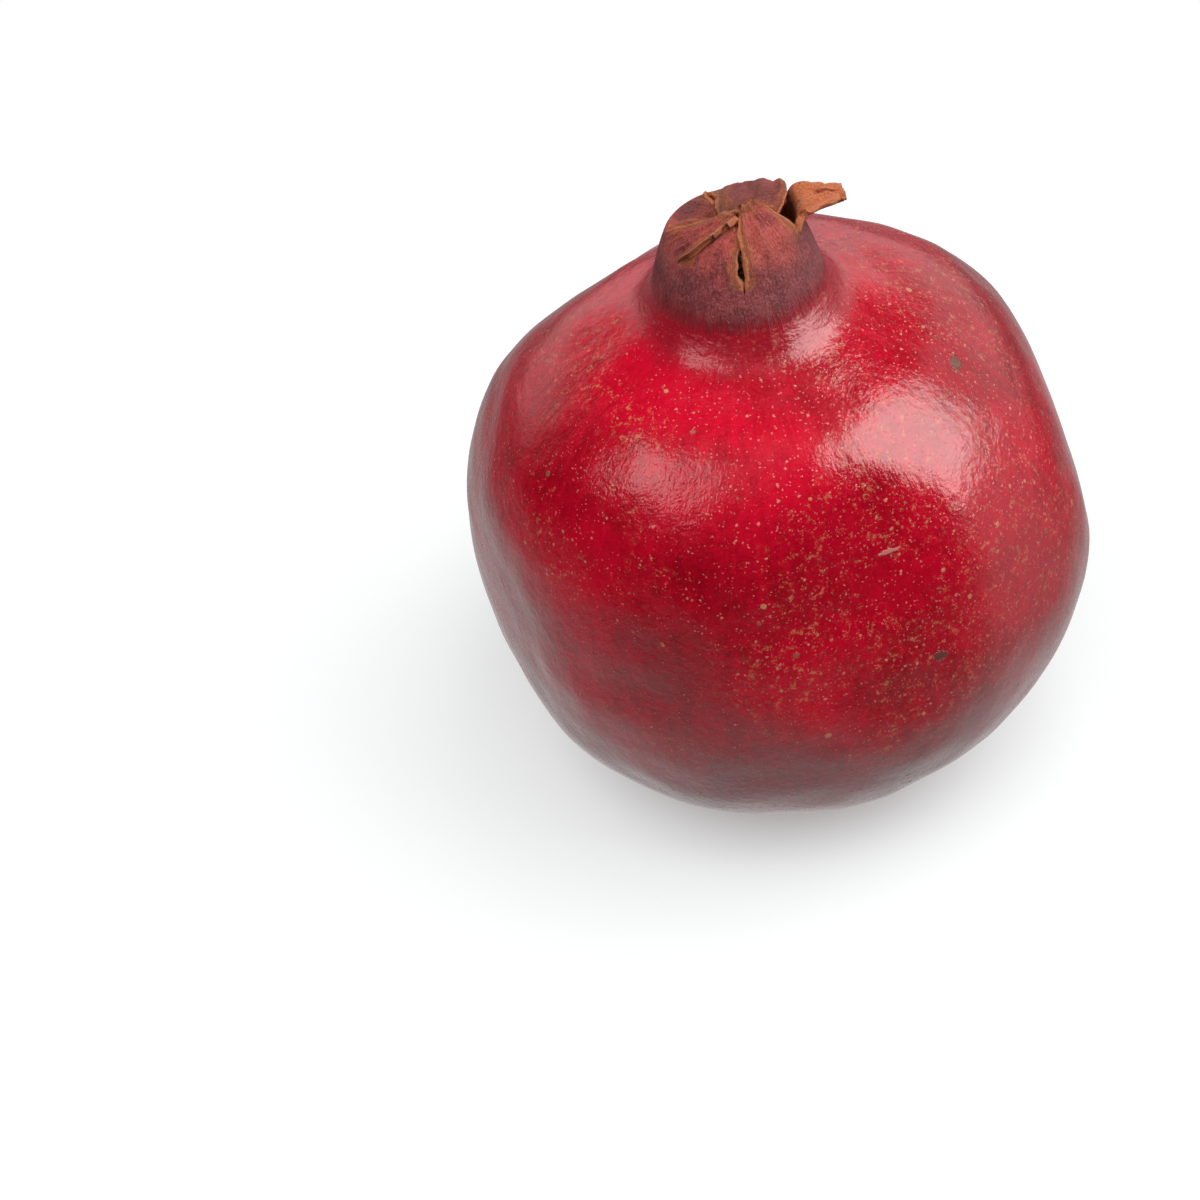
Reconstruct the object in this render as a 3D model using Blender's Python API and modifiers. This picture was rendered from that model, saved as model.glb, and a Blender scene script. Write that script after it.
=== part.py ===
"""A whole ripe pomegranate, standing on the small flat spot at its stem end.

The rind, its neck and the cup inside the neck grew as one piece, so they are one solid. The six
sepals of the crown, the tuft of dried stamens and the style in the cup, and the stub of the stem
are pieces of their own.

Lengths are in millimetres and are multiplied by MM where they become metres. Everything is modelled
round the fruit's growth axis, with height 0 at the widest part of the body; the axis leans a little.
"""

import math
import random
from typing import NamedTuple

import bmesh
import bpy
from mathutils import Matrix, Vector

MM = 0.001

# The body and its pose
BODY_RADIUS = 44.8
LEAN_DEG = 4.0  # the growth axis leans towards -X
REST_DEPTH = 39.8  # the flat spot lies this far below the body's widest part
NECK_OFFSET = (-2.0, -6.1)  # the neck grew off centre
OFFSET_FROM, OFFSET_TO = 0.0, 40.0  # heights between which that offset grows
BODY_SEGMENTS = 48

# The neck, and the cup inside it
RIM_RADIUS = 10.8
RIM_HEIGHT = 51.3
NECK_WALL = 2.3
CUP_RADIUS = 8.6
CUP_FLOOR = 38.5
NECK_BASE = 41.0  # pressed flats and bulges fade out above this height

# The stem end
RECESS_RADIUS = 4.4
RECESS_FLOOR = -36.6
STUB_RADIUS = 3.0
STUB_LENGTH = 2.2

# Every piece keeps this gap to its neighbour
GAP = 0.3

# The crown
SEPAL_THICKNESS = 1.2
SEPAL_ROWS, SEPAL_COLUMNS = 12, 8
UPRIGHT_SHARE = 0.15  # a sepal stands upright on the rim before it starts to lean
STAMEN_SEGMENTS = 24

RIND_RED = (0.46, 0.012, 0.03)
SEPAL_BROWN = (0.24, 0.06, 0.035)
STAMEN_TAN = (0.45, 0.25, 0.09)
STYLE_BROWN = (0.26, 0.12, 0.05)
STEM_BROWN = (0.12, 0.065, 0.035)

# Flats pressed into the body: (outward direction, distance from the middle of the body, softness)
FLATS = (
    ((0.94, 0.25, 0.23), 41.6, 4.0),
    ((-0.49, 0.56, 0.66), 40.8, 5.0),
    ((0.10, 0.97, -0.10), 42.6, 4.0),
    ((-0.86, -0.42, -0.10), 43.4, 3.5),
    ((0.30, -0.92, 0.25), 43.2, 3.5),
)
BULGE_DIRECTION = (0.62, 0.55, 0.57)
BULGE_HEIGHT, BULGE_SPREAD = 2.1, 0.5  # the spread is an angle in radians


def clear_scene():
    """Removes every object of the startup scene."""
    for obj in list(bpy.data.objects):
        bpy.data.objects.remove(obj, do_unlink=True)


def new_collection(name):
    """A collection of that name in the scene."""
    collection = bpy.data.collections.new(name)
    bpy.context.scene.collection.children.link(collection)
    return collection


def new_material(name, colour, roughness):
    """A Principled material of one colour."""
    material = bpy.data.materials.new(name)
    material.use_nodes = True
    material.diffuse_color = (*colour, 1.0)
    shader = material.node_tree.nodes["Principled BSDF"]
    shader.inputs["Base Color"].default_value = (*colour, 1.0)
    shader.inputs["Roughness"].default_value = roughness
    shader.inputs["Metallic"].default_value = 0.0
    return material


def new_object(name, mesh, collection, material, parent):
    """An object for one piece, in the frame of its parent."""
    obj = bpy.data.objects.new(name, mesh)
    obj.data.materials.append(material)
    collection.objects.link(obj)
    obj.parent = parent
    return obj


def new_empty(name, collection, location, rotation, parent=None):
    """An empty that carries other pieces."""
    empty = bpy.data.objects.new(name, None)
    empty.location = location
    empty.rotation_euler = rotation
    empty.parent = parent
    collection.objects.link(empty)
    return empty


def smoothstep(low, high, value):
    """0 below low, 1 above high, and a smooth rise between them."""
    t = min(max((value - low) / (high - low), 0.0), 1.0)
    return t * t * (3 - 2 * t)


def catmull_rom(a, b, c, d, t):
    """The value between b and c, at a share t of the way, of a smooth curve through all four."""
    straight = (c - a) * t
    square = (2 * a - 5 * b + 4 * c - d) * t**2
    cube = (3 * b - a - 3 * c + d) * t**3
    return (2 * b + straight + square + cube) / 2


def through(points, steps):
    """A smooth curve through the points, with that many steps from each to the next."""
    before_first = tuple(2 * a - b for a, b in zip(points[0], points[1]))
    after_last = tuple(2 * a - b for a, b in zip(points[-1], points[-2]))
    ends = [before_first, *points, after_last]
    curve = []
    for before, start, end, after in zip(ends, ends[1:], ends[2:], ends[3:]):
        for step in range(steps):
            share = step / steps
            corners = zip(before, start, end, after)
            curve.append(tuple(catmull_rom(*values, share) for values in corners))
    curve.append(points[-1])
    return curve


def turned_mesh(name, profile, segments):
    """The closed mesh that a Screw modifier turns from a profile of (radius, height) in millimetres.

    The profile starts and ends on the axis, and runs down its outer side.
    """
    outline = bpy.data.meshes.new(name)
    points = [(radius * MM, 0.0, height * MM) for radius, height in profile]
    outline.from_pydata(points, [(i, i + 1) for i in range(len(points) - 1)], [])
    guide = bpy.data.objects.new(name + "_profile", outline)
    bpy.context.scene.collection.objects.link(guide)
    screw = guide.modifiers.new("Turn", "SCREW")
    screw.steps = segments
    screw.render_steps = segments
    screw.use_merge_vertices = True
    screw.merge_threshold = 0.00001
    bpy.context.view_layer.update()
    graph = bpy.context.evaluated_depsgraph_get()
    mesh = bpy.data.meshes.new_from_object(guide.evaluated_get(graph))
    mesh.name = name
    bpy.data.objects.remove(guide, do_unlink=True)
    bpy.data.meshes.remove(outline)
    return mesh


def body_profile():
    """The rind's section: up the cup's wall, over the rim, down the neck and body, into the recess."""
    cup = [
        (0.0, CUP_FLOOR),
        (3.4, CUP_FLOOR + 0.3),
        (6.6, CUP_FLOOR + 1.9),
        (CUP_RADIUS, CUP_FLOOR + 5.4),
        (CUP_RADIUS + 0.1, RIM_HEIGHT - 3.0),
        (RIM_RADIUS - NECK_WALL + 0.1, RIM_HEIGHT - 0.5),
        (RIM_RADIUS - NECK_WALL + 0.6, RIM_HEIGHT),
    ]
    outer = through(
        [
            (RIM_RADIUS, RIM_HEIGHT - 0.4),
            (11.5, 48.8),
            (12.5, 45.8),
            (14.8, 42.5),
            (19.5, 40.0),
            (27.0, 36.0),
            (35.0, 28.0),
            (41.5, 16.0),
            (BODY_RADIUS, 3.0),
            (44.2, -10.0),
            (39.5, -23.0),
            (31.0, -32.5),
            (20.0, -38.3),
            (12.0, -40.2),
            (6.6, -39.9),
        ],
        steps=3,
    )
    recess = [
        (RECESS_RADIUS + 0.6, -39.0),
        (RECESS_RADIUS, -38.0),
        (RECESS_RADIUS - 0.3, RECESS_FLOOR),
        (0.0, RECESS_FLOOR),
    ]
    return [*cup, (RIM_RADIUS - 0.4, RIM_HEIGHT), *outer, *recess]


def neck_shift(height):
    """How far the axis lies off centre at a height, in millimetres."""
    share = smoothstep(OFFSET_FROM, OFFSET_TO, height)
    return Vector((NECK_OFFSET[0] * share, NECK_OFFSET[1] * share, 0.0))


def grow(point):
    """Where a point of the turned body lies once it has grown uneven: shifted, pressed and swollen."""
    point = point / MM
    fade = 1 - smoothstep(NECK_BASE - 5.0, NECK_BASE + 1.0, point.z)
    point = point + neck_shift(point.z)
    for direction, distance, softness in FLATS:
        normal = Vector(direction).normalized()
        excess = point.dot(normal) - distance
        if excess > softness:
            point = point - normal * excess * fade
        elif excess > -softness:
            point = point - normal * (excess + softness) ** 2 / (4 * softness) * fade
    outward = point.normalized()
    angle = outward.angle(Vector(BULGE_DIRECTION))
    point = point + outward * BULGE_HEIGHT * math.exp(-((angle / BULGE_SPREAD) ** 2)) * fade
    return point * MM


def make_fruit(collection, material, axis, cutters):
    """The rind with its neck and cup, cut off level where it rests."""
    mesh = turned_mesh("fruit", body_profile(), BODY_SEGMENTS)
    for vertex in mesh.vertices:
        vertex.co = grow(vertex.co)
    mesh.shade_smooth()
    mesh.set_sharp_from_angle(angle=math.radians(50))
    fruit = new_object("fruit", mesh, collection, material, axis)

    half = 60.0 * MM
    bpy.ops.mesh.primitive_cube_add(size=2 * half, location=(0.0, 0.0, -half))
    floor = bpy.context.active_object
    floor.name = "rest_cutter"
    floor.hide_render = True
    floor.display_type = "WIRE"
    for holder in list(floor.users_collection):
        holder.objects.unlink(floor)
    cutters.objects.link(floor)
    cut = fruit.modifiers.new("Flat spot", "BOOLEAN")
    cut.operation = "DIFFERENCE"
    cut.object = floor
    return fruit


class Sepal(NamedTuple):
    """One lobe of the crown.

    Angles are in degrees. The leans are from the crown's axis towards the middle, and a late bend
    (above 1) keeps the first lean for longer before the sepal folds over to the last one.
    """

    name: str
    azimuth: float
    half_angle: float
    length: float
    first_lean: float
    last_lean: float
    bend: float
    tip_share: float  # how much of its width is left at the tip


SEPALS = (
    Sepal("sepal_left", 193.0, 33.0, 12.2, 24.0, 84.0, 1.3, 0.20),
    Sepal("sepal_front_left", 251.0, 24.5, 12.2, 22.0, 80.0, 1.5, 0.20),
    Sepal("sepal_front_right", 309.5, 33.5, 13.0, 20.0, 78.0, 1.5, 0.15),
    Sepal("sepal_right", 12.0, 28.0, 9.0, -6.0, -64.0, 1.0, 0.50),
    Sepal("sepal_back_right", 69.0, 28.5, 12.4, 16.0, 88.0, 1.9, 0.35),
    Sepal("sepal_back_left", 129.0, 31.0, 11.8, 26.0, 84.0, 1.3, 0.20),
)


def sepal_lean(sepal, along):
    """A sepal's lean in radians at a share of its length."""
    lean = sepal.first_lean + (sepal.last_lean - sepal.first_lean) * along**sepal.bend
    return math.radians(lean * smoothstep(0.0, UPRIGHT_SHARE, along))


def sepal_centreline(sepal, along):
    """(distance from the crown's axis, height above the rim) at a share of the length."""
    radius, height = RIM_RADIUS, GAP
    steps = 24
    for step in range(steps):
        lean = sepal_lean(sepal, along * (step + 0.5) / steps)
        radius -= math.sin(lean) * sepal.length * along / steps
        height += math.cos(lean) * sepal.length * along / steps
    return radius, height


def make_sepal(sepal, collection, material, crown):
    """One lobe of the crown: a tapering shell that lies on the crown's dome, or bends out from it."""
    builder = bmesh.new()
    bmesh.ops.create_grid(builder, x_segments=SEPAL_COLUMNS, y_segments=SEPAL_ROWS, size=1.0)
    half_angle = math.radians(sepal.half_angle)
    for vertex in builder.verts:
        across, along = vertex.co.x, (vertex.co.y + 1) / 2
        radius, height = sepal_centreline(sepal, along)
        taper = 1 - (1 - sepal.tip_share) * along**2
        room = half_angle * radius - GAP / 2  # up to the sepal beside it
        half_width = min(half_angle * RIM_RADIUS * taper, room)
        turn = across * half_width / radius
        vertex.co = Vector((radius * math.cos(turn), radius * math.sin(turn), height)) * MM
    bmesh.ops.rotate(
        builder,
        cent=(0.0, 0.0, 0.0),
        matrix=Matrix.Rotation(math.radians(sepal.azimuth), 3, "Z"),
        verts=builder.verts,
    )
    mesh = bpy.data.meshes.new(sepal.name)
    builder.to_mesh(mesh)
    builder.free()
    mesh.shade_smooth()
    piece = new_object(sepal.name, mesh, collection, material, crown)
    wall = piece.modifiers.new("Thickness", "SOLIDIFY")
    wall.thickness = SEPAL_THICKNESS * MM
    wall.offset = -1.0
    return piece


def make_stamens(collection, material, axis):
    """The dried stamens as one tuft: a mat that fills the cup, and filaments with anthers on top."""
    chance = random.Random(7)
    builder = bmesh.new()
    # The mat's section, from the hole for the style over the cup's floor, up its wall and back
    section = (
        (1.9, 39.3),
        (3.4, 39.5),
        (6.2, 41.2),
        (8.1, 44.4),
        (8.1, 47.8),
        (6.0, 48.4),
        (4.0, 48.6),
        (1.9, 48.6),
    )
    corners = [builder.verts.new((radius * MM, 0.0, height * MM)) for radius, height in section]
    edges = [builder.edges.new((a, b)) for a, b in zip(corners, corners[1:] + corners[:1])]
    bmesh.ops.spin(
        builder,
        geom=corners + edges,
        cent=(0.0, 0.0, 0.0),
        axis=(0.0, 0.0, 1.0),
        angle=math.tau,
        steps=STAMEN_SEGMENTS,
        use_merge=True,
    )
    bmesh.ops.remove_doubles(builder, verts=builder.verts, dist=0.00001)
    bmesh.ops.recalc_face_normals(builder, faces=builder.faces)
    tops = [face for face in builder.faces if face.normal.z > 0.9]
    tops.sort(key=lambda face: round(math.hypot(*face.calc_center_median().xy), 5))
    # Each step of a filament and its anther: (length, side of its square section)
    steps = ((0.9, 0.50), (1.6, 0.42), (1.3, 0.40), (0.3, 1.00), (0.9, 0.85))
    # One filament on every fourth, third and second face of the mat's rings, from the inner ring out
    for ring, spacing in enumerate((4, 3, 2)):
        members = tops[ring * STAMEN_SEGMENTS : (ring + 1) * STAMEN_SEGMENTS]
        members.sort(key=lambda face: math.atan2(*face.calc_center_median().xy))
        for face in members[::spacing]:
            grow_stamen(builder, face, steps, chance)
    mesh = bpy.data.meshes.new("stamens")
    builder.to_mesh(mesh)
    builder.free()
    stamens = new_object("stamens", mesh, collection, material, axis)
    stamens.location = neck_shift(RIM_HEIGHT) * MM
    return stamens


def grow_stamen(builder, face, steps, chance):
    """Draws one filament and its anther out of a face of the mat, leaning a little to the middle."""
    reach = chance.uniform(0.75, 1.0)
    lean = math.radians(chance.uniform(4.0, 12.0))
    for number, (length, side) in enumerate(steps):
        face = bmesh.ops.extrude_discrete_faces(builder, faces=[face])["faces"][0]
        middle = face.calc_center_median()
        inward = Vector((-middle.x, -middle.y, 0.0)).normalized()
        angle = lean * number
        rise = inward * math.sin(angle) + Vector((0.0, 0.0, 1.0)) * math.cos(angle)
        share = side * MM / math.sqrt(face.calc_area())
        around = Matrix.Translation(-middle)
        bmesh.ops.scale(builder, vec=(share, share, share), space=around, verts=face.verts)
        bmesh.ops.translate(builder, vec=rise * length * reach * MM, verts=face.verts)


def make_style(collection, material, axis):
    """The dried style in the middle of the cup, with its knob."""
    foot = CUP_FLOOR + GAP
    profile = [
        (0.0, foot + 12.6),
        (0.9, foot + 12.3),
        (1.25, foot + 11.6),
        (1.0, foot + 10.8),
        (0.55, foot + 10.2),
        (0.5, foot + 6.0),
        (0.75, foot + 2.0),
        (1.4, foot + 0.4),
        (1.5, foot),
        (0.0, foot),
    ]
    mesh = turned_mesh("style", profile, 12)
    mesh.shade_smooth()
    style = new_object("style", mesh, collection, material, axis)
    style.location = neck_shift(RIM_HEIGHT) * MM
    return style


def make_stem_stub(collection, material, axis):
    """The woody stub of the stem, cut off inside its recess so that the fruit doesn't stand on it."""
    top = RECESS_FLOOR - GAP
    profile = [
        (0.0, top),
        (STUB_RADIUS + 0.4, top),
        (STUB_RADIUS + 0.2, top - 0.5),
        (STUB_RADIUS, top - 1.0),
        (STUB_RADIUS - 0.1, top - STUB_LENGTH + 0.2),
        (STUB_RADIUS - 0.3, top - STUB_LENGTH),
        (0.0, top - STUB_LENGTH),
    ]
    mesh = turned_mesh("stem_stub", profile, 16)
    return new_object("stem_stub", mesh, collection, material, axis)


def stand_over_origin(axis, collection):
    """Moves the whole fruit sideways until its box is centred on the origin."""
    bpy.context.view_layer.update()
    graph = bpy.context.evaluated_depsgraph_get()
    corners = []
    for obj in collection.objects:
        if obj.type != "MESH":
            continue
        evaluated = obj.evaluated_get(graph)
        mesh = evaluated.to_mesh()
        corners += [evaluated.matrix_world @ vertex.co for vertex in mesh.vertices]
        evaluated.to_mesh_clear()
    for index in (0, 1):
        values = [corner[index] for corner in corners]
        axis.location[index] -= (min(values) + max(values)) / 2


def main():
    """Builds the pomegranate, piece by piece."""
    clear_scene()
    pieces = new_collection("pomegranate")
    cutters = new_collection("cutters")
    rind = new_material("rind", RIND_RED, 0.32)
    dry_sepal = new_material("dry_sepal", SEPAL_BROWN, 0.75)
    dry_stamen = new_material("dry_stamen", STAMEN_TAN, 0.85)
    dry_style = new_material("dry_style", STYLE_BROWN, 0.8)
    wood = new_material("stem_wood", STEM_BROWN, 0.9)

    axis = new_empty(
        "growth_axis", pieces, (0.0, 0.0, REST_DEPTH * MM), (0.0, -math.radians(LEAN_DEG), 0.0)
    )
    rim = neck_shift(RIM_HEIGHT) * MM
    rim.z = RIM_HEIGHT * MM
    crown = new_empty("crown_axis", pieces, rim, (0.0, 0.0, 0.0), parent=axis)

    make_fruit(pieces, rind, axis, cutters)
    for sepal in SEPALS:
        make_sepal(sepal, pieces, dry_sepal, crown)
    make_stamens(pieces, dry_stamen, axis)
    make_style(pieces, dry_style, axis)
    make_stem_stub(pieces, wood, axis)
    stand_over_origin(axis, pieces)


main()
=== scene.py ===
"""The looks of a whole ripe pomegranate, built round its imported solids.

Lengths are in millimetres in the frame of the fruit's growth axis, with height 0 at the widest part of
the body, until GrowthAxis.place turns them into metres in the frame of the model. Azimuths are in
degrees, counted from +X towards +Y, so 270 faces the viewer.
"""

import logging
import math
import random
from dataclasses import dataclass
from enum import Enum
from typing import ClassVar, Iterable, Sequence

import bmesh
import bpy
from mathutils import Euler, Matrix, Vector, noise

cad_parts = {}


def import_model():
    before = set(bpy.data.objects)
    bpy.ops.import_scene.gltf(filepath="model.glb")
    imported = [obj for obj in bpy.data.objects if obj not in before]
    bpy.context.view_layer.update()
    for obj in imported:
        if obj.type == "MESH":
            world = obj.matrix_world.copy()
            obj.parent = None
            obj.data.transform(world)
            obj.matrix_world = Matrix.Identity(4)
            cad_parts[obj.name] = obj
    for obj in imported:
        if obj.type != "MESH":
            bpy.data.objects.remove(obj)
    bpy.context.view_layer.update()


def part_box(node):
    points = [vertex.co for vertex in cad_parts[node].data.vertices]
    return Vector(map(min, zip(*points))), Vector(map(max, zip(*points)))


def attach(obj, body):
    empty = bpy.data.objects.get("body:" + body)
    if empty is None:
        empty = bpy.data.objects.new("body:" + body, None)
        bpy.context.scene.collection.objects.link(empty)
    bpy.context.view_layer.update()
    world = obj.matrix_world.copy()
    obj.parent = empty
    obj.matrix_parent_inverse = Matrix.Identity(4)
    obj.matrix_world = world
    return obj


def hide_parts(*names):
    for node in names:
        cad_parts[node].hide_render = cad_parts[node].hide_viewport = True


MM = 0.001
MERGE_DISTANCE = 0.001  # millimetres
BODY = "root"

Colour = tuple[float, float, float]
Point = tuple[float, float, float]

LOG = logging.getLogger("pomegranate")


class Slot(Enum):
    """The record's material slots."""

    RIND = "rind"
    SEPAL = "dry_sepal"
    STAMEN = "dry_stamen"
    STYLE = "dry_style"
    STEM = "stem_wood"


# ---------------------------------------------------------------- shape


def smoothstep(low: float, high: float, value: float) -> float:
    """A smooth rise from 0 at low to 1 at high.

    Args:
        low: Where the rise starts.
        high: Where it ends.
        value: The place that is asked for.

    Returns:
        A share between 0 and 1.
    """
    share = min(max((value - low) / (high - low), 0.0), 1.0)
    return share * share * (3 - 2 * share)


def polar(azimuth: float, radius: float, height: float) -> Vector:
    """A point given by azimuth in degrees, distance from the axis and height.

    Args:
        azimuth: The azimuth in degrees.
        radius: The distance from the axis.
        height: The height along the axis.

    Returns:
        The point.
    """
    turn = math.radians(azimuth)
    return Vector((radius * math.cos(turn), radius * math.sin(turn), height))


def catmull_rom(before: Vector, start: Vector, end: Vector, after: Vector, share: float) -> Vector:
    """A point between start and end on the smooth curve through all four points.

    Args:
        before: The point before the span.
        start: The span's first point.
        end: The span's last point.
        after: The point after the span.
        share: How far along the span, 0 to 1.

    Returns:
        The point on the curve.
    """
    straight = (end - before) * share
    square = (2 * before - 5 * start + 4 * end - after) * share**2
    cube = (3 * start - before - 3 * end + after) * share**3
    return (2 * start + straight + square + cube) / 2


def along_curve(points: Sequence[Vector], share: float) -> Vector:
    """A point on the smooth curve through the points, each span counting the same.

    Args:
        points: The points that the curve passes through.
        share: How far along the whole curve, 0 to 1.

    Returns:
        The point on the curve.
    """
    spans = len(points) - 1
    place = min(max(share, 0.0), 1.0) * spans
    span = min(int(place), spans - 1)
    first = 2 * points[0] - points[1]
    last = 2 * points[-1] - points[-2]
    row = [first, *points, last]
    return catmull_rom(*row[span : span + 4], place - span)


def outline(points: Sequence[tuple[float, float]], spacing: float) -> list[Vector]:
    """A profile in the XZ plane, smooth through its key points.

    Args:
        points: The key points as (radius, height).
        spacing: The distance that two points of the profile are apart at most.

    Returns:
        The profile's points, its first and last key point included.
    """
    keys = [Vector((radius, 0.0, height)) for radius, height in points]
    profile = []
    for span in range(len(keys) - 1):
        steps = max(1, math.ceil((keys[span + 1] - keys[span]).length / spacing))
        for step in range(steps):
            profile.append(along_curve(keys, (span + step / steps) / (len(keys) - 1)))
    profile.append(keys[-1])
    return profile


@dataclass(frozen=True)
class GrowthAxis:
    """The fruit's own frame, which leans a little in the frame of the model."""

    middle: Vector  # the middle of the body, in metres
    lean: float = 4.0  # degrees, towards -X
    stub_depth: float = 38.0  # from the middle of the body down to the middle of the stem's stub
    rest_height: float = 39.8  # from the ground up to the middle of the body
    neck_offset: tuple[float, float] = (-2.0, -6.1)  # the neck grew off centre
    offset_from: float = 0.0
    offset_to: float = 40.0

    @classmethod
    def from_frame(cls) -> "GrowthAxis":
        """Finds the axis from the stub of the stem, which is centred on it.

        Returns:
            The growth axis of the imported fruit.
        """
        low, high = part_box("stem_stub")
        stub = (low + high) / 2
        shift = math.sin(math.radians(cls.lean)) * cls.stub_depth * MM
        return cls(Vector((stub.x - shift, stub.y, cls.rest_height * MM)))

    @property
    def turn(self) -> Matrix:
        """The rotation from the fruit's frame to the model's."""
        return Matrix.Rotation(-math.radians(self.lean), 4, "Y")

    @property
    def place(self) -> Matrix:
        """Takes millimetres in the fruit's frame to metres in the model's."""
        return Matrix.Translation(self.middle) @ self.turn @ Matrix.Scale(MM, 4)

    def neck_shift(self, height: float) -> Vector:
        """How far the middle of the fruit lies off its axis at a height."""
        share = smoothstep(self.offset_from, self.offset_to, height)
        return Vector((self.neck_offset[0] * share, self.neck_offset[1] * share, 0.0))


# ---------------------------------------------------------------- materials


class Wire:
    """An output socket that takes part in Python arithmetic; each operator adds a Math node."""

    def __init__(self, graph: "Graph", socket: bpy.types.NodeSocket) -> None:
        """Wraps a socket of a graph."""
        self.graph = graph
        self.socket = socket

    def _math(self, operation: str, first: "Wire | float", second: "Wire | float") -> "Wire":
        """A Math node on two values."""
        return self.graph.node("ShaderNodeMath", {"operation": operation}, {0: first, 1: second})

    def __add__(self, other: "Wire | float") -> "Wire":
        """self + other."""
        return self._math("ADD", self, other)

    def __radd__(self, other: float) -> "Wire":
        """other + self."""
        return self._math("ADD", other, self)

    def __sub__(self, other: "Wire | float") -> "Wire":
        """self - other."""
        return self._math("SUBTRACT", self, other)

    def __rsub__(self, other: float) -> "Wire":
        """other - self."""
        return self._math("SUBTRACT", other, self)

    def __mul__(self, other: "Wire | float") -> "Wire":
        """self * other."""
        return self._math("MULTIPLY", self, other)

    def __rmul__(self, other: float) -> "Wire":
        """other * self."""
        return self._math("MULTIPLY", other, self)

    def __truediv__(self, other: "Wire | float") -> "Wire":
        """self / other."""
        return self._math("DIVIDE", self, other)

    def __pow__(self, other: "Wire | float") -> "Wire":
        """self ** other."""
        return self._math("POWER", self, other)

    def clamp(self) -> "Wire":
        """The value, kept between 0 and 1."""
        return self.graph.node("ShaderNodeClamp", {}, {0: self})

    def most(self, other: "Wire | float") -> "Wire":
        """The larger of two values."""
        return self._math("MAXIMUM", self, other)


class Graph:
    """A node tree that is written as expressions."""

    def __init__(self, tree: bpy.types.NodeTree) -> None:
        """Wraps a node tree."""
        self.tree = tree

    def node(self, kind: str, settings: dict, sockets: dict, output: int | str = 0) -> Wire:
        """Adds any node.

        Args:
            kind: The node's type.
            settings: Its properties, set before its sockets.
            sockets: Values or wires, by the socket's index or name.
            output: The output that is wanted.

        Returns:
            That output.
        """
        node = self.tree.nodes.new(kind)
        for name, value in settings.items():
            setattr(node, name, value)
        for key, value in sockets.items():
            if isinstance(value, Wire):
                self.tree.links.new(value.socket, node.inputs[key])
            elif node.inputs[key].type == "RGBA":
                node.inputs[key].default_value = (*value, 1.0)
            else:
                node.inputs[key].default_value = value
        return Wire(self, node.outputs[output])

    def mix(self, share: Wire | float, first: Wire | Colour, second: Wire | Colour) -> Wire:
        """A colour that goes from first to second as the share goes from 0 to 1."""
        settings = {"data_type": "RGBA", "clamp_factor": True}
        return self.node("ShaderNodeMix", settings, {0: share, 6: first, 7: second}, 2)

    def rise(self, value: Wire, low: float, high: float) -> Wire:
        """A smooth rise from 0 at low to 1 at high, or a fall where high is below low.

        Args:
            value: The value that is followed.
            low: The value where the result is 0.
            high: The value where it is 1.

        Returns:
            A share between 0 and 1.
        """
        settings = {"interpolation_type": "SMOOTHSTEP"}
        if high < low:
            return 1 - self.rise(value, high, low)
        return self.node("ShaderNodeMapRange", settings, {0: value, 1: low, 2: high})

    def noise(self, vector: Wire, scale: float, detail: float = 2.0, rough: float = 0.5) -> Wire:
        """Fractal noise round 0.5, with the scale in features per millimetre."""
        sockets = {"Vector": vector, "Scale": scale, "Detail": detail, "Roughness": rough}
        return self.node("ShaderNodeTexNoise", {}, sockets, 0)

    def stretch(self, vector: Wire, scale: Point) -> Wire:
        """The vector times a scale for each axis."""
        return self.node("ShaderNodeVectorMath", {"operation": "MULTIPLY"}, {0: vector, 1: scale})

    def vector(self, x: Wire | float, y: Wire | float, z: Wire | float) -> Wire:
        """A vector made of three values."""
        return self.node("ShaderNodeCombineXYZ", {}, {0: x, 1: y, 2: z})

    def parts(self, vector: Wire) -> tuple[Wire, Wire, Wire]:
        """Takes a vector apart.

        Args:
            vector: The vector.

        Returns:
            Its three values.
        """
        first = self.node("ShaderNodeSeparateXYZ", {}, {0: vector})
        outputs = first.socket.node.outputs
        return first, Wire(self, outputs[1]), Wire(self, outputs[2])

    def attribute(self, name: str) -> Wire:
        """A value that the mesh carries at its vertices."""
        settings = {"attribute_type": "GEOMETRY", "attribute_name": name}
        return self.node("ShaderNodeAttribute", settings, {}, "Fac")

    def millimetres(self, axis: GrowthAxis) -> Wire:
        """Object coordinates taken to millimetres in the fruit's own frame.

        Args:
            axis: The fruit's own frame.

        Returns:
            The place on the surface.
        """
        back = axis.turn.inverted()
        location = -(back @ axis.middle) / MM
        spot = self.node("ShaderNodeTexCoord", {}, {}, "Object")
        sockets = {
            "Vector": spot,
            "Location": location,
            "Rotation": back.to_euler(),
            "Scale": (1 / MM, 1 / MM, 1 / MM),
        }
        return self.node("ShaderNodeMapping", {"vector_type": "POINT"}, sockets)


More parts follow.
